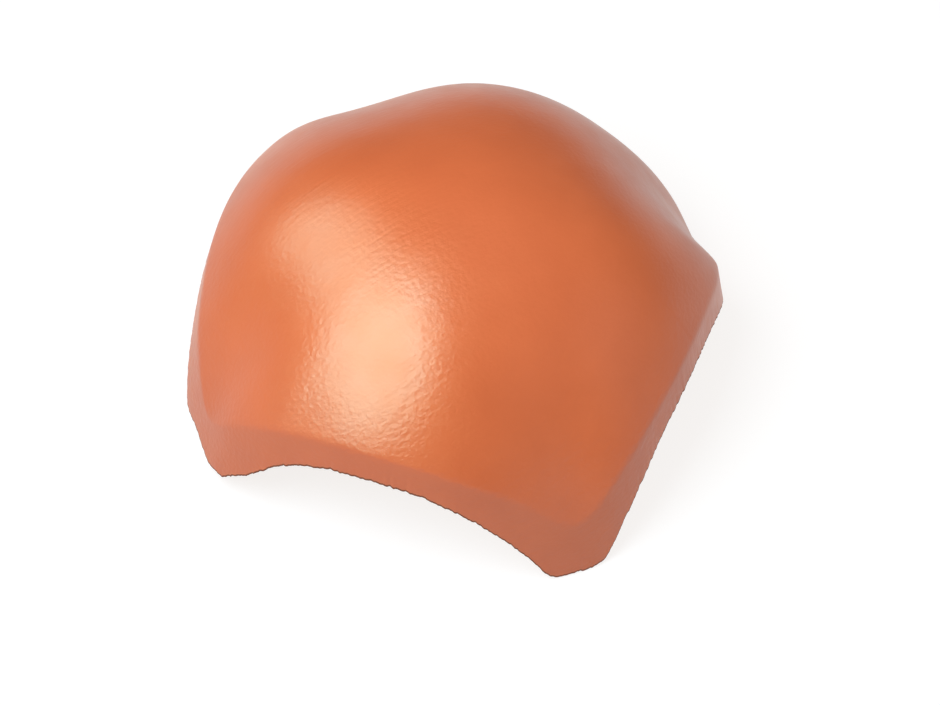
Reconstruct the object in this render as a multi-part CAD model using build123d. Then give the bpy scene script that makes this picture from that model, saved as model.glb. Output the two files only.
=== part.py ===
from build123d import *
import math
import os

# A four-way ridge tile: a domed cap that closes the point where four ridges meet.
# Each side is open as an arch over the ridge that runs in under it, and the cap
# stands on the four feet between the arches. Lengths in millimetres, angles in degrees.
# The origin is on the ground under the apex, with the arms along X and Y.

# Rim band: nearly round in plan, fuller at the four feet, leaning in towards the crown
rim_reach = 194.4
foot_swell = 6.3
side_bow_share = 1.34
rim_draft = 9.7

# Crown: two barrels that cross and melt into one dome, with falls as shares of the height, at the rim's reach
crown_height = 207.7
crest_fall_share = 0.4944     # along an arm, with the fourth power of the distance
flank_fall_share = 0.9833     # across an arm, with the square of the distance
shoulder_fall_share = 1.4236  # across an arm, with the sixth power of the distance
valley_softness_share = 0.3245
crease_radius = 14.0

# Grid of points that the crown is drawn through
grid_count = 35
grid_tolerance = 0.05

# Moulded wall, at the apex and at the rim, and the number of tapers in the hollow's dome
wall = 14.0
taper_count = 3

# Arched openings, set out from the width of the feet between their straight legs
foot_width = 40.0
arch_height = 85.0
leg_slope = 57.0
leg_handle_share = 0.25
head_handle_share = 0.55
toe_radius = 10.0

# How far a tool shape reaches past the body that it cuts
overrun = 5.0

corner_reach = rim_reach + foot_swell


def crown_z(x, y):
    """Height of the crown: the higher of two crossing barrels, with the valleys between them filled."""
    u = x / rim_reach
    v = y / rim_reach
    along_x = crest_fall_share * u**4 + flank_fall_share * v**2 + shoulder_fall_share * v**6
    along_y = crest_fall_share * v**4 + flank_fall_share * u**2 + shoulder_fall_share * u**6
    gap = math.hypot(along_x - along_y, valley_softness_share)
    return crown_height * (1 - (along_x + along_y + valley_softness_share - gap) / 2)


def crown_face():
    """The crown, drawn over a square that holds the rim's plan."""
    stations = [rim_reach * (2 * i / (grid_count - 1) - 1) for i in range(grid_count)]
    grid = [[(x, y, crown_z(x, y)) for y in stations] for x in stations]
    return Face.make_surface_from_array_of_points(grid, tol=grid_tolerance, min_deg=3)


def rim_outline():
    """Plan of the rim on the ground: four flat-bowed sides and four tighter corners, all tangent."""
    bow_radius = rim_reach * side_bow_share
    setback = bow_radius - rim_reach
    spare = bow_radius - corner_reach
    corner_offset = (spare**2 - setback**2) / (math.sqrt(2) * setback - 2 * spare)
    corner_radius = corner_reach - corner_offset
    corner_centre = corner_offset / math.sqrt(2)
    turn = math.degrees(math.atan2(corner_centre, corner_centre + setback))
    arcs = []
    for k in range(4):
        quarter = Rot(0, 0, 90 * k)
        arcs.append(quarter * CenterArc((-setback, 0), bow_radius, -turn, 2 * turn))
        arcs.append(quarter * CenterArc((corner_centre, corner_centre), corner_radius, turn, 90 - 2 * turn))
    return make_face(arcs)


def closed_cap():
    """The outside of the tile with no hollow: a leaning rim under the crown."""
    rim = extrude(rim_outline(), amount=crown_height + overrun, taper=rim_draft)
    cap = rim & extrude(crown_face(), amount=3 * crown_height, dir=(0, 0, -1))
    crease = cap.faces().sort_by(Axis.Z)[-1].edges()
    return fillet(crease, crease_radius)


def hollow():
    """The space under the wall: a leaning rim, then straight tapers that step round a dome to a point."""
    lean = math.radians(rim_draft)
    foot = rim_reach - wall
    top = crown_height - wall
    dome_radius = (foot - top * math.tan(lean)) / (1 / math.cos(lean) - math.tan(lean))
    tapers = []
    for k in range(taper_count + 1):
        rise = lean + (math.pi / 2 - lean) * k / taper_count
        tapers.append((dome_radius * math.cos(rise), top - dome_radius * (1 - math.sin(rise))))
    profile = Polyline((0, 0), (foot, 0), *tapers, close=True)
    return revolve(Plane.XZ * make_face(profile), Axis.Z)


def arch_profile():
    """Outline of an opening: a round head on two legs that splay out to rounded toes."""
    foot_turn = math.asin(foot_width / (2 * corner_reach))
    half_width = corner_reach * math.sin(math.pi / 4 - foot_turn)
    slope = math.radians(leg_slope)
    toe_length = toe_radius * math.tan(slope / 2)
    leg_length = toe_length + half_width * leg_handle_share
    toe = (half_width + toe_length, 0)
    ankle = (half_width - toe_length * math.cos(slope), toe_length * math.sin(slope))
    knee = (half_width - leg_length * math.cos(slope), leg_length * math.sin(slope))
    shoulder = (half_width * head_handle_share, arch_height)
    right = [TangentArc(toe, ankle, tangent=(-1, 0)), Bezier(ankle, knee, shoulder, (0, arch_height))]
    left = [edge.mirror(Plane.YZ) for edge in right]
    sill = Polyline(toe, (toe[0], -overrun), (-toe[0], -overrun), (-toe[0], 0))
    return make_face([*right, *left, sill])


def ridge_tile():
    """The cap, hollowed from below, with an arch through each pair of sides."""
    tile = closed_cap() - hollow()
    for across in (Plane.YZ, Plane.XZ):
        tile -= extrude(across * arch_profile(), amount=corner_reach, both=True)
    return tile


os.makedirs("parts", exist_ok=True)
tile = ridge_tile()
tile.label = "ridge_tile"
export_step(tile, "parts/ridge_tile.step")
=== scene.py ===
import math

import bpy
import numpy as np
from mathutils import Matrix, Quaternion, Vector, noise
from mathutils.bvhtree import BVHTree


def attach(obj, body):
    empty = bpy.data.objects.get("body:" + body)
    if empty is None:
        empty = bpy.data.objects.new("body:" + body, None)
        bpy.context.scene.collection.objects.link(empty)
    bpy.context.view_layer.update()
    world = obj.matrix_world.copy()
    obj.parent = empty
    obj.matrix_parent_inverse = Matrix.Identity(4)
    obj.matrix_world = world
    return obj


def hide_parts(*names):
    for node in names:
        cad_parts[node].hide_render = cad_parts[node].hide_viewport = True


# Looks of a four-way ridge tile: a coated, cast cap with a ragged lower edge.
# Lengths in metres, in the frame of the solid model. Angles are in degrees, but rises, which are angles
# above the ground plane, are in radians.

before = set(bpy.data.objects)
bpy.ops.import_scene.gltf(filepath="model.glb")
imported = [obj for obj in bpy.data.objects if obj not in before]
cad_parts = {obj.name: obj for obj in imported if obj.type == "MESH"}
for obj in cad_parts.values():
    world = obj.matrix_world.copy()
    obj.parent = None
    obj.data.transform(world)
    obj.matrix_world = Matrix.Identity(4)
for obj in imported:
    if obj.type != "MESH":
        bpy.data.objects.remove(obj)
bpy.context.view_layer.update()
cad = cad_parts["ridge_tile"]
MM = 0.001

# Rings and columns of the cast skin
COLUMNS = 1280
RIM_RINGS = 18
DOME_RINGS = 52
SOFFIT_RINGS = 5
INSIDE_RINGS = 30

# Spacing of the dome's rings: partly even, and partly crowded towards the crease by a power
DOME_EVEN_SHARE = 0.55
DOME_CROWDING = 1.6

# Small rings skip columns until a face is about this wide, but rings near the lower edge skip none
FACE_WIDTH = 2.2 * MM
LARGEST_STEP = 16
FINE_RINGS_OUTSIDE = 8
FINE_RINGS_INSIDE = 2

# Search for the edges and the crease of the solid
SEARCH_HEIGHTS = (-1 * MM, 100 * MM)
EDGE_HALVINGS = 20
CREASE_HALVINGS = 18
OUTER_REACH = 100 * MM  # the outer face lies farther out than this
INNER_FACING = -0.8     # the inner face looks back along its spoke at least this squarely
CREASE_FACING = 0.27    # upward share of the normal where the rim band gives way to the crown
CREASE_LIMIT = 50.0
MISSED_RAISE = 0.1      # a ray that misses the outer face is raised by this angle

# Heights past an edge at which the face is sure to be there, and a height below the tile
EDGE_CLEARANCE = 0.2 * MM
LIP_CLEARANCE = 0.3 * MM
CREASE_CLEARANCE = 3 * MM
BELOW = -50 * MM

# Lengths over which values taken from the solid's facets are rounded, and plan radii for that
RIM_RADIUS = 180 * MM
EDGE_HEIGHT_ROUND = 1.5 * MM
EDGE_REACH_ROUND = 3 * MM
CREASE_ROUND = 4 * MM
FACE_ROUND = 4 * MM
SMALLEST_RADIUS = 4 * MM

# Passes that even rings out against their neighbours, and the dome's first rings, which are left crisp
DOME_PASSES = 3
INSIDE_PASSES = 6
CRISP_RINGS = 4

# Ragged lower edge: bites out of it, never growth
EDGE_GRAIN = 1.9 * MM
EDGE_GRAIN_LENGTH = 3.6 * MM
EDGE_GRAIN_MIDDLE = 0.5
EDGE_GRAIN_SPREAD = 0.6
EDGE_GRAIN_MOST = 1.6
FINE_GRAIN_SHARE = 0.6
EDGE_NICK = 2.4 * MM
EDGE_NICK_LENGTH = 11 * MM
EDGE_NICK_LEVEL = 0.25
SMALL_NICK_LENGTH = 5 * MM
SMALL_NICK_SHARE = 0.5
EDGE_STEPS = (0, 0.5 * MM, 1.1 * MM, 2.2 * MM, 4.0 * MM)
EDGE_ROUND = 1.0 * MM
EDGE_RINGS = 3          # lowest rings that are rounded in and left bare by the coat

# The foot that is worn short: its height at one angle, and its slopes per degree before and after it
WORN_ANGLE = 228.3
WORN_HEIGHT = 10.5 * MM
WORN_LIMIT = 20.5 * MM  # greatest height before that angle
WORN_SLOPES = (1.6 * MM, 0.9 * MM)
WORN_REACH = 22.0       # degrees on either side
WORN_ROUND = 2 * MM

# The leg beside the worn foot, which reaches lower than the others
LEG_ANGLE = 240.0
LEG_DROP = 6.5 * MM
LEG_SPAN = 3.6

# Soft upright edges where the rim's sides meet, a little past the middle of the feet
QUARTER = 90
CORNER_ANGLE = 52.0
CORNER_BULGE = 3.2 * MM
CORNER_SINK = 1.3 * MM
CORNER_SPAN = 18.0
CORNER_RADIUS = 190 * MM
CORNER_ROUND = 6 * MM
CORNER_FADE = 30 * MM

# Fuller stretches of the rim: middle angle, bulge, and span before and after the middle
FULL_STRETCHES = (
    (28.0, 6.5 * MM, 10.5, 4.5),
    (213.0, 3.0 * MM, 6.0, 6.0),
)

# The fuller shoulder at the back left
LOBE_PLACE = (-146 * MM, 80 * MM, 116 * MM)
LOBE_BULGE = 4.0 * MM
LOBE_WIDTH = 32 * MM

# Slow unevenness of the moulded face
SWELL_DEPTH = 0.6 * MM
SWELL_LENGTH = 60 * MM

# Rough soffit, and lumps and pits of the inner face, which is seen from a point on the axis
SOFFIT_ROUGH = 0.8 * MM
SOFFIT_LENGTH = 4 * MM
EYE_HEIGHT = 50 * MM
LUMP_DEPTH = 0.7 * MM
LUMP_LENGTH = 22 * MM
PIT_DEPTH = 0.25 * MM
PIT_LENGTH = 6 * MM

solid = BVHTree.FromPolygons(
    [v.co.copy() for v in cad.data.vertices],
    [tuple(p.vertices) for p in cad.data.polygons],
)
turns = 2 * math.pi * (np.arange(COLUMNS) + 0.5) / COLUMNS
degrees = np.degrees(turns)
spokes = [Vector((math.cos(a), math.sin(a), 0)) for a in turns]


def on_axis(height):
    """Point of the tile's axis at a height."""
    return Vector((0, 0, height))


def raised(spoke, rise):
    """Direction of a spoke lifted by a rise."""
    return spoke * math.cos(rise) + on_axis(math.sin(rise))


def lowest(passes, low, high, halvings):
    """Lowest value between two that passes a test, found by halving."""
    for _ in range(halvings):
        middle = (low + high) / 2
        if passes(middle):
            high = middle
        else:
            low = middle
    return high


def hit_from_outside(spoke, rise):
    """Place and normal on the outer face, looking back at the origin along a raised spoke."""
    place = None
    while place is None or place.dot(spoke) < 0:
        way = raised(spoke, rise)
        place, normal, _, _ = solid.ray_cast(way, -way)
        rise += math.radians(MISSED_RAISE)
    return place, normal


def outer_reach(spoke, height):
    """How far out the solid is first met on this spoke, coming in at a height, or None if it isn't."""
    place = solid.ray_cast(spoke + on_axis(height), -spoke)[0]
    return None if place is None else place.dot(spoke)


def inner_reach(spoke, height):
    """How far out the inner face lies on this spoke at a height."""
    return solid.ray_cast(on_axis(height), spoke)[0].dot(spoke)


def underside(spoke, reach):
    """Height at which the solid is first met from below, at a distance out on this spoke."""
    return solid.ray_cast(spoke * reach + on_axis(BELOW), on_axis(1))[0].z


def outer_edge(spoke):
    """Lowest height at which the outer face stands on this spoke."""
    def stands(height):
        reach = outer_reach(spoke, height)
        return reach is not None and reach > OUTER_REACH
    return max(lowest(stands, *SEARCH_HEIGHTS, EDGE_HALVINGS), 0.0)


def inner_edge(spoke):
    """Lowest height at which the inner face stands on this spoke."""
    def stands(height):
        place, normal, _, _ = solid.ray_cast(on_axis(height), spoke)
        return place is not None and normal.dot(spoke) < INNER_FACING
    return max(lowest(stands, *SEARCH_HEIGHTS, EDGE_HALVINGS), 0.0)


def crease(spoke, start):
    """Rise at which the rim band gives way to the crown."""
    def is_crown(rise):
        return hit_from_outside(spoke, rise)[1].z >= CREASE_FACING
    return lowest(is_crown, start, math.radians(CREASE_LIMIT), CREASE_HALVINGS)


def soften(values, radius, length):
    """Rounds a closed row of values, at a plan radius, over a length."""
    wave = np.fft.rfft(values)
    harmonics = np.arange(len(wave))
    return np.fft.irfft(wave * np.exp(-(harmonics * length / radius) ** 2 / 2), len(values))


def settle(rings, passes):
    """Evens rings out against their neighbours, in place. The first and the last stay."""
    for _ in range(passes):
        rings[1:-1] = rings[1:-1] / 2 + rings[:-2] / 4 + rings[2:] / 4


def bell(offset, span):
    """1 at no offset, fading smoothly to 0 over a few spans."""
    return np.exp(-(offset / span) ** 2 / 2)


def grain(ring, length, seed):
    """Seeded noise from -1 to 1 along a ring of points."""
    shift = Vector((seed, 2 * seed, 3 * seed))
    return np.array([noise.noise(Vector(p) / length + shift) for p in ring])


def to_share(values):
    """Values from -1 to 1 moved to run from 0 to 1."""
    return 0.5 + 0.5 * values


def ring_at(distance, rise, height=0):
    """Ring of points at a distance and a rise on each spoke, as seen from a height on the axis."""
    flat = distance * np.cos(rise)
    return np.stack([flat * np.cos(turns), flat * np.sin(turns), height + distance * np.sin(rise)], -1)


def swell(ring, growth):
    """Moves the points of a ring away from the origin, in place."""
    ring *= (1 + growth / np.linalg.norm(ring, axis=1))[:, None]


def widen(ring, growth):
    """Moves the points of a ring away from the axis, in place."""
    ring[:, :2] *= (1 + growth / np.hypot(ring[:, 0], ring[:, 1]))[:, None]


# Lower edge and crease of the solid's outer face
edge_z = np.array([outer_edge(s) for s in spokes])
edge_z = np.maximum(soften(edge_z, RIM_RADIUS, EDGE_HEIGHT_ROUND), 0)
edge_r = np.array([outer_reach(s, z + EDGE_CLEARANCE) for s, z in zip(spokes, edge_z)])
edge_r = soften(edge_r, RIM_RADIUS, EDGE_REACH_ROUND)
crease_rise = np.array([
    crease(s, math.atan2(z + CREASE_CLEARANCE, r))
    for s, z, r in zip(spokes, edge_z, edge_r)
])
crease_rise = soften(crease_rise, RIM_RADIUS, CREASE_ROUND)

# The worn foot
off = degrees - WORN_ANGLE
near_worn = np.abs(off) < WORN_REACH
slope_before = np.minimum(-off * WORN_SLOPES[0], WORN_LIMIT - WORN_HEIGHT)
slope_after = off * WORN_SLOPES[1]
worn = WORN_HEIGHT + np.where(off < 0, slope_before, slope_after)
worn_edge = soften(np.where(near_worn, worn, 0), RIM_RADIUS, WORN_ROUND) * near_worn
drop = LEG_DROP * bell(degrees - LEG_ANGLE, LEG_SPAN)
edge_z = np.maximum(edge_z, worn_edge) - drop
worn_under = np.maximum(worn_edge - drop, 0)

# The ragged edge
edge_line = [(s.x * r, s.y * r, z) for s, r, z in zip(spokes, edge_r, edge_z)]
coarse_grain = grain(edge_line, EDGE_GRAIN_LENGTH, seed=1.0)
fine_grain = grain(edge_line, EDGE_GRAIN_LENGTH / 2, seed=2.0)
large_nicks = grain(edge_line, EDGE_NICK_LENGTH, seed=3.0)
small_nicks = grain(edge_line, SMALL_NICK_LENGTH, seed=4.0)
sand = EDGE_GRAIN_MIDDLE + EDGE_GRAIN_SPREAD * (coarse_grain + FINE_GRAIN_SHARE * fine_grain)
nicks = large_nicks + SMALL_NICK_SHARE * small_nicks - EDGE_NICK_LEVEL
bite = EDGE_GRAIN * np.clip(sand, 0, EDGE_GRAIN_MOST) + EDGE_NICK * np.clip(nicks, 0, 1)
edge_z = edge_z + bite

# Rings of the outer face, from the lower edge to the crease and on to the apex
rim_shares = np.linspace(0, 1, RIM_RINGS + 1)[1:]
dome_shares = np.linspace(0, 1, DOME_RINGS + 1)[1:-1]
dome_shares = DOME_EVEN_SHARE * dome_shares + (1 - DOME_EVEN_SHARE) * dome_shares ** DOME_CROWDING
edge_rise = np.arctan2(edge_z, edge_r)
rises = [edge_rise + step / edge_r for step in EDGE_STEPS]
band_rise = rises[-1]
rises += [band_rise + (crease_rise - band_rise) * share for share in rim_shares]
rim_count = len(rises)
rises += [crease_rise + (math.pi / 2 - crease_rise) * share for share in dome_shares]
distances = np.array([
    [hit_from_outside(s, a)[0].length for s, a in zip(spokes, rise)]
    for rise in rises
])
for distance, rise in zip(distances, rises):
    radius = max(float(np.mean(distance * np.cos(rise))), SMALLEST_RADIUS)
    distance[:] = soften(distance, radius, FACE_ROUND)
settle(distances[rim_count + CRISP_RINGS - 1:], DOME_PASSES)
outside = [ring_at(distance, rise) for distance, rise in zip(distances, rises)]

# Unevenness of the whole face and the fuller shoulder
for ring in outside:
    dent = SWELL_DEPTH * to_share(grain(ring, SWELL_LENGTH, seed=5.0))
    lobe = LOBE_BULGE * bell(np.linalg.norm(ring - np.array(LOBE_PLACE), axis=1), LOBE_WIDTH)
    swell(ring, lobe - dent)

# Soft upright edges and fuller stretches of the rim, which fade out above the crease
past = np.abs((degrees - CORNER_ANGLE + QUARTER / 2) % QUARTER - QUARTER / 2)
corner = np.interp(past, (0, CORNER_SPAN, 2 * CORNER_SPAN), (CORNER_BULGE, -CORNER_SINK, 0))
corner = soften(corner, CORNER_RADIUS, CORNER_ROUND)
for middle, bulge, before, after in FULL_STRETCHES:
    span = np.where(degrees < middle, before, after)
    corner = corner + bulge * bell(degrees - middle, span)
crease_z = outside[rim_count - 1][:, 2]
for i, ring in enumerate(outside):
    fade = bell(np.maximum(ring[:, 2] - crease_z, 0), CORNER_FADE)
    inward = EDGE_ROUND * (1 - i / EDGE_RINGS) ** 2 if i < EDGE_RINGS else 0
    widen(ring, corner * fade - inward)

# Inner lip, and the soffit between it and the outer edge
lip_z = np.maximum([inner_edge(s) for s in spokes], worn_under)
lip_r = np.array([inner_reach(s, z + LIP_CLEARANCE) for s, z in zip(spokes, lip_z)])
start_r = np.hypot(outside[0][:, 0], outside[0][:, 1])
soffit = []
for k in range(1, SOFFIT_RINGS + 1):
    share = k / (SOFFIT_RINGS + 1)
    ring_r = start_r + (lip_r - start_r) * share
    ring_z = np.maximum([underside(s, r) for s, r in zip(spokes, ring_r)], worn_under)
    ring = np.stack([ring_r * np.cos(turns), ring_r * np.sin(turns), ring_z], -1)
    rough = np.clip(to_share(grain(ring, SOFFIT_LENGTH, seed=6.0 + k)), 0, 1)
    ring[:, 2] += SOFFIT_ROUGH * rough + bite * (1 - share) ** 2
    soffit.append(ring)

# Rings of the inner face, from the lip to the top of the hollow
eye = on_axis(EYE_HEIGHT)
lip_rise = np.arctan2(lip_z + LIP_CLEARANCE - eye.z, lip_r)
inside_rises = [lip_rise + (math.pi / 2 - lip_rise) * k / INSIDE_RINGS for k in range(INSIDE_RINGS)]
inside_distances = np.array([
    [solid.ray_cast(eye, raised(s, a))[3] for s, a in zip(spokes, rise)]
    for rise in inside_rises
])
settle(inside_distances, INSIDE_PASSES)
inside = [ring_at(distance, rise, eye.z) for distance, rise in zip(inside_distances, inside_rises)]
for ring in inside[1:]:
    lumps = LUMP_DEPTH * grain(ring, LUMP_LENGTH, seed=12.0)
    pits = PIT_DEPTH * grain(ring, PIT_LENGTH, seed=13.0)
    swell(ring, lumps + pits)

# Skin: rings from the apex out, down, under and back up inside
apex = (0.0, 0.0, float(outside[-1][:, 2].max()))
hollow_top = (0.0, 0.0, float(inside[-1][:, 2].max()))
rings = outside[::-1] + soffit + inside
edge_ring = len(outside) - 1


def small_ring_step(ring):
    """Every how many columns a ring has a point: 1, or a higher power of 2 where the ring is small."""
    spacing = 2 * math.pi * float(np.mean(np.hypot(ring[:, 0], ring[:, 1]))) / COLUMNS
    step = 1
    while step < LARGEST_STEP and 2 * step * spacing < FACE_WIDTH:
        step *= 2
    return step


def ring_steps():
    """Step of each ring: 1 near the lower edge, and at most doubled from ring to ring away from it."""
    steps = [small_ring_step(ring) for ring in rings]
    first = edge_ring - FINE_RINGS_OUTSIDE
    last = edge_ring + SOFFIT_RINGS + FINE_RINGS_INSIDE
    for i in range(first, last + 1):
        steps[i] = 1
    for i in range(first - 1, -1, -1):
        steps[i] = min(max(steps[i], steps[i + 1], 2), 2 * steps[i + 1])
    for i in range(last + 1, len(rings)):
        steps[i] = min(max(steps[i], steps[i - 1], 2), 2 * steps[i - 1])
    return steps


def join(start, count, next_start, next_count):
    """Faces between a ring and the next, which has as many points, half as many or twice as many."""
    made = []
    pairs = min(count, next_count)
    for j in range(pairs):
        k = (j + 1) % pairs
        a, b = start + j, start + k
        c, d = next_start + j, next_start + k
        if next_count == count:
            made.append((a, c, d, b))
        elif next_count > count:
            p, q, r = (next_start + (2 * j + n) % next_count for n in range(3))
            made += [(a, p, q), (a, q, b), (b, q, r)]
        else:
            p, q, r = (start + (2 * j + n) % count for n in range(3))
            made += [(p, c, q), (q, c, d), (q, d, r)]
    return made


steps = ring_steps()
counts = [COLUMNS // step for step in steps]
verts = [apex]
starts = []
for ring, step in zip(rings, steps):
    starts.append(len(verts))
    verts.extend(map(tuple, ring[::step]))
verts.append(hollow_top)

COAT, BARE = 0, 1
coat_count = edge_ring - EDGE_RINGS
faces = [(0, starts[0] + j, starts[0] + (j + 1) % counts[0]) for j in range(counts[0])]
skins = [COAT] * len(faces)
for i in range(len(rings) - 1):
    made = join(starts[i], counts[i], starts[i + 1], counts[i + 1])
    faces += made
    skins += [COAT if i < coat_count else BARE] * len(made)
top = len(verts) - 1
faces += [(starts[-1] + j, top, starts[-1] + (j + 1) % counts[-1]) for j in range(counts[-1])]
skins += [BARE] * counts[-1]

mesh = bpy.data.meshes.new("cast_tile")
mesh.from_pydata(verts, [], faces)
mesh.validate()
mesh.polygons.foreach_set("material_index", skins)
mesh.polygons.foreach_set("use_smooth", [True] * len(mesh.polygons))
mesh.update()
tile = bpy.data.objects.new("cast_tile", mesh)
bpy.context.scene.collection.objects.link(tile)

# Coat: colours from dark to light, roughness, gloss, and the sizes and depths of its marks
COAT_COLOURS = ((0.63, 0.140, 0.046), (0.69, 0.160, 0.054))
COAT_ROUGHNESS = (0.31, 0.37)
COAT_GLOSS = 0.65
CLOUD_SIZE = 3 * (70 * MM,)
RUB_SIZE = 3 * (20 * MM,)
PEEL_SIZE = 3 * (3.6 * MM,)
PEEL_DEPTH = 0.29 * MM
PEEL_SHARES = (1.0, 0.35)               # of its depth, at the front of the tile and towards the middle
PEEL_PLACES = (-90 * MM, -10 * MM)      # along Y
STREAK_SIZE = (40 * MM, 2.8 * MM, 2.8 * MM)
STREAK_TURN = (0, -20, 45)
STREAK_DEPTH = 0.18 * MM

# Bare concrete
BARE_COLOURS = ((0.20, 0.055, 0.028), (0.36, 0.115, 0.062))
BARE_ROUGHNESS = (0.75, 0.95)
BARE_GLOSS = 0.3
SAND_SIZE = 3 * (3 * MM,)
SAND_DEPTH = 1.0 * MM

# Range that noise mostly keeps to
NOISE_RANGE = (0.3, 0.7)


def new_material(name):
    """A material with nodes, its node tree and its main shader."""
    material = bpy.data.materials.new(name)
    material.use_nodes = True
    net = material.node_tree
    return material, net, net.nodes["Principled BSDF"]


def object_place(net):
    """Place on the object, in metres."""
    return net.nodes.new("ShaderNodeTexCoord").outputs["Object"]


def noise_at(net, size, detail, rough=0.5, turn=(0, 0, 0)):
    """Noise over the object, with features of a size along each axis of a turned frame."""
    frame_node = net.nodes.new("ShaderNodeMapping")
    frame_node.vector_type = "TEXTURE"
    frame_node.inputs["Rotation"].default_value = [math.radians(a) for a in turn]
    frame_node.inputs["Scale"].default_value = size
    net.links.new(object_place(net), frame_node.inputs["Vector"])
    made = net.nodes.new("ShaderNodeTexNoise")
    made.inputs["Scale"].default_value = 1.0
    made.inputs["Detail"].default_value = detail
    made.inputs["Roughness"].default_value = rough
    net.links.new(frame_node.outputs["Vector"], made.inputs["Vector"])
    return made.outputs["Fac"]


def remap(net, value, results, limits=NOISE_RANGE):
    """A value moved from between its limits to between two results."""
    made = net.nodes.new("ShaderNodeMapRange")
    made.inputs["From Min"].default_value, made.inputs["From Max"].default_value = limits
    made.inputs["To Min"].default_value, made.inputs["To Max"].default_value = results
    net.links.new(value, made.inputs["Value"])
    return made.outputs["Result"]


def blend(net, share, colours):
    """The first colour where the share is 0, and the second where it is 1."""
    made = net.nodes.new("ShaderNodeMix")
    made.data_type = "RGBA"
    made.inputs["A"].default_value = (*colours[0], 1)
    made.inputs["B"].default_value = (*colours[1], 1)
    net.links.new(share, made.inputs["Factor"])
    return made.outputs["Result"]


def bump(net, height, depth, under=None):
    """Normal of a face with relief of a depth, on top of another relief's normal if one is given."""
    made = net.nodes.new("ShaderNodeBump")
    made.inputs["Strength"].default_value = 1.0
    made.inputs["Distance"].default_value = depth
    net.links.new(height, made.inputs["Height"])
    if under is not None:
        net.links.new(under, made.inputs["Normal"])
    return made.outputs["Normal"]


def math_of(net, operation, first, second):
    """Result of a sum, product or the like of two values."""
    made = net.nodes.new("ShaderNodeMath")
    made.operation = operation
    net.links.new(first, made.inputs[0])
    net.links.new(second, made.inputs[1])
    return made.outputs[0]


def orange_coat():
    """Orange-red coat, brushed, and thick enough at the front to dry with an orange-peel face."""
    material, net, shader = new_material("orange_coat")
    cloud = noise_at(net, CLOUD_SIZE, detail=3.0)
    net.links.new(blend(net, remap(net, cloud, (0, 1)), COAT_COLOURS), shader.inputs["Base Color"])
    rub = noise_at(net, RUB_SIZE, detail=3.0)
    net.links.new(remap(net, rub, COAT_ROUGHNESS), shader.inputs["Roughness"])
    shader.inputs["Specular IOR Level"].default_value = COAT_GLOSS
    split = net.nodes.new("ShaderNodeSeparateXYZ")
    net.links.new(object_place(net), split.inputs[0])
    thickness = remap(net, split.outputs["Y"], PEEL_SHARES, PEEL_PLACES)
    peel = math_of(net, "MULTIPLY", noise_at(net, PEEL_SIZE, detail=2.0, rough=0.45), thickness)
    streak = noise_at(net, STREAK_SIZE, detail=2.0, turn=STREAK_TURN)
    normal = bump(net, streak, STREAK_DEPTH, under=bump(net, peel, PEEL_DEPTH))
    net.links.new(normal, shader.inputs["Normal"])
    return material


def bare_concrete():
    """Bare, sandy concrete of the lower edge and the underside."""
    material, net, shader = new_material("bare_concrete")
    sand = noise_at(net, SAND_SIZE, detail=4.0, rough=0.65)
    net.links.new(blend(net, remap(net, sand, (0, 1)), BARE_COLOURS), shader.inputs["Base Color"])
    net.links.new(remap(net, sand, BARE_ROUGHNESS), shader.inputs["Roughness"])
    shader.inputs["Specular IOR Level"].default_value = BARE_GLOSS
    net.links.new(bump(net, sand, SAND_DEPTH), shader.inputs["Normal"])
    return material


tile.data.materials.append(orange_coat())
tile.data.materials.append(bare_concrete())
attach(tile, "root")
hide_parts("ridge_tile")

# Floor: where the camera or the gloss sees it, a glow and a little of its light, and elsewhere a grey board
FLOOR_SIZE = 30.0
# The glow is warm and the board seen with it is cool, so they add up to white where the floor is lit, and
# the tile's shadow shows warm: painted warm bounce light from the tile.
FLOOR_GLOW = (0.875, 0.845, 0.825)
FLOOR_SEEN = (0.17, 0.20, 0.22)
FLOOR_BOARD = (0.50, 0.50, 0.49)


def board(net, colour):
    """A matt shader."""
    made = net.nodes.new("ShaderNodeBsdfDiffuse")
    made.inputs["Color"].default_value = (*colour, 1)
    return made.outputs[0]


def glow(net, colour, strength):
    """A shader that gives light."""
    made = net.nodes.new("ShaderNodeEmission")
    made.inputs["Color"].default_value = (*colour, 1)
    made.inputs["Strength"].default_value = strength
    return made.outputs[0]


def white_floor():
    """Floor that shows near white with the tile's soft shadow, which is tinted warm there as painted bounce
    light, and throws light back as grey board does.
    """
    material, net, shader = new_material("white_floor")
    net.nodes.remove(shader)
    path = net.nodes.new("ShaderNodeLightPath")
    shown = net.nodes.new("ShaderNodeAddShader")
    net.links.new(board(net, FLOOR_SEEN), shown.inputs[0])
    net.links.new(glow(net, FLOOR_GLOW, 1.0), shown.inputs[1])
    mirrored = math_of(net, "MAXIMUM", path.outputs["Is Glossy Ray"], path.outputs["Is Transmission Ray"])
    seen = math_of(net, "MAXIMUM", path.outputs["Is Camera Ray"], mirrored)
    surface = net.nodes.new("ShaderNodeMixShader")
    net.links.new(seen, surface.inputs["Fac"])
    net.links.new(board(net, FLOOR_BOARD), surface.inputs[1])
    net.links.new(shown.outputs[0], surface.inputs[2])
    net.links.new(surface.outputs[0], net.nodes["Material Output"].inputs["Surface"])
    return material


floor_mesh = bpy.data.meshes.new("floor")
half = FLOOR_SIZE / 2
floor_mesh.from_pydata(
    [(-half, -half, 0), (half, -half, 0), (half, half, 0), (-half, half, 0)], [], [(0, 1, 2, 3)],
)
floor_mesh.materials.append(white_floor())
floor = bpy.data.objects.new("floor", floor_mesh)
bpy.context.scene.collection.objects.link(floor)

# Room: dim all round
ROOM_COLOUR = (0.12, 0.12, 0.12)
world = bpy.data.worlds.new("room")
bpy.context.scene.world = world
world.use_nodes = True
world.node_tree.nodes["Background"].inputs["Color"].default_value = (*ROOM_COLOUR, 1)

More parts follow.
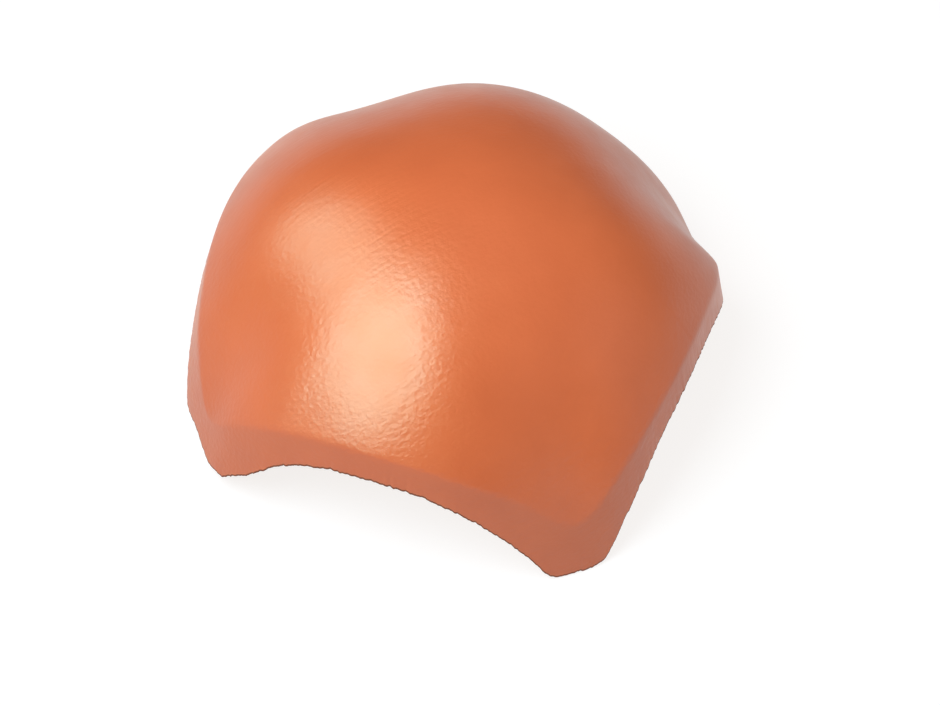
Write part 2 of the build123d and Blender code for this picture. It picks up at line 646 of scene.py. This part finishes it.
# Soft boxes light the tile's faces, and glowing cards show in its gloss alone
LAMP_DISTANCE = 2.4
CARD_SIDES = 64


def face_tile(thing, way, roll=0):
    """Sets a lamp or card out along a direction, facing the tile."""
    way = Vector(way).normalized()
    thing.location = way * LAMP_DISTANCE
    turn = way.to_track_quat("Z", "Y") @ Quaternion((0, 0, 1), math.radians(roll))
    thing.rotation_euler = turn.to_euler()
    bpy.context.scene.collection.objects.link(thing)


def lamp(name, way, size, power):
    """A round soft box that lights the faces and keeps out of the gloss."""
    made = bpy.data.lights.new(name, "AREA")
    made.shape = "DISK"
    made.size = size
    made.energy = power
    placed = bpy.data.objects.new(name, made)
    placed.visible_glossy = False
    face_tile(placed, way)


def card(name, way, size, strength, colour, roll=0):
    """A glowing oval card that shows in the gloss and lights nothing else."""
    corners = [2 * math.pi * i / CARD_SIDES for i in range(CARD_SIDES)]
    oval = [(math.cos(a) * size[0] / 2, math.sin(a) * size[1] / 2, 0) for a in corners]
    made = bpy.data.meshes.new(name)
    made.from_pydata(oval, [], [tuple(range(CARD_SIDES))])
    material, net, shader = new_material(name)
    net.nodes.remove(shader)
    net.links.new(glow(net, colour, strength), net.nodes["Material Output"].inputs["Surface"])
    material.cycles.emission_sampling = "NONE"
    made.materials.append(material)
    placed = bpy.data.objects.new(name, made)
    placed.visible_camera = False
    placed.visible_diffuse = False
    placed.visible_transmission = False
    placed.visible_shadow = False
    face_tile(placed, way, roll)


lamp("key", way=(-0.27, -0.42, 0.86), size=1.5, power=50.0)
lamp("overhead", way=(0, 0, 1), size=2.5, power=8.0)
lamp("right", way=(0.92, 0, 0.4), size=2.0, power=13.0)
lamp("left", way=(-0.92, 0, 0.4), size=2.0, power=3.0)
card("key_card", (-0.39, -0.59, 0.71), (3.0, 3.4), strength=11.0, colour=(0.43, 1.0, 0.90), roll=26)
card("window_card", (-0.79, 0.02, 0.61), (1.2, 1.6), strength=6.2, colour=(0.48, 1.0, 0.84))

# Camera: far off, so nearly without perspective. The scale is in pixels per metre at the tile's origin.
VIEW_AZIMUTH, VIEW_RISE, VIEW_ROLL = (math.radians(a) for a in (15.886, 51.703, 3.578))
VIEW_DISTANCE = 4.7244
VIEW_SCALE = 1386.0
IMAGE_WIDTH, IMAGE_HEIGHT = 940, 705
ORIGIN_AT = (452.0, 368.7)
back = Vector((
    math.sin(VIEW_AZIMUTH) * math.cos(VIEW_RISE),
    -math.cos(VIEW_AZIMUTH) * math.cos(VIEW_RISE),
    math.sin(VIEW_RISE),
))
level = Vector((math.cos(VIEW_AZIMUTH), math.sin(VIEW_AZIMUTH), 0))
upright = back.cross(level)
right = level * math.cos(VIEW_ROLL) + upright * math.sin(VIEW_ROLL)
up = upright * math.cos(VIEW_ROLL) - level * math.sin(VIEW_ROLL)
aim_right = (IMAGE_WIDTH / 2 - ORIGIN_AT[0]) / VIEW_SCALE
aim_up = (ORIGIN_AT[1] - IMAGE_HEIGHT / 2) / VIEW_SCALE
place = right * aim_right + up * aim_up + back * VIEW_DISTANCE
camera = bpy.data.cameras.new("camera")
camera.sensor_fit = "HORIZONTAL"
camera.sensor_width = 36.0
camera.lens = camera.sensor_width * VIEW_SCALE * VIEW_DISTANCE / IMAGE_WIDTH
camera.clip_end = 100
camera_object = bpy.data.objects.new("camera", camera)
camera_object.matrix_world = Matrix((
    (right.x, up.x, back.x, place.x),
    (right.y, up.y, back.y, place.y),
    (right.z, up.z, back.z, place.z),
    (0, 0, 0, 1),
))
bpy.context.scene.collection.objects.link(camera_object)
bpy.context.scene.camera = camera_object
bpy.context.scene.view_settings.view_transform = "Standard"
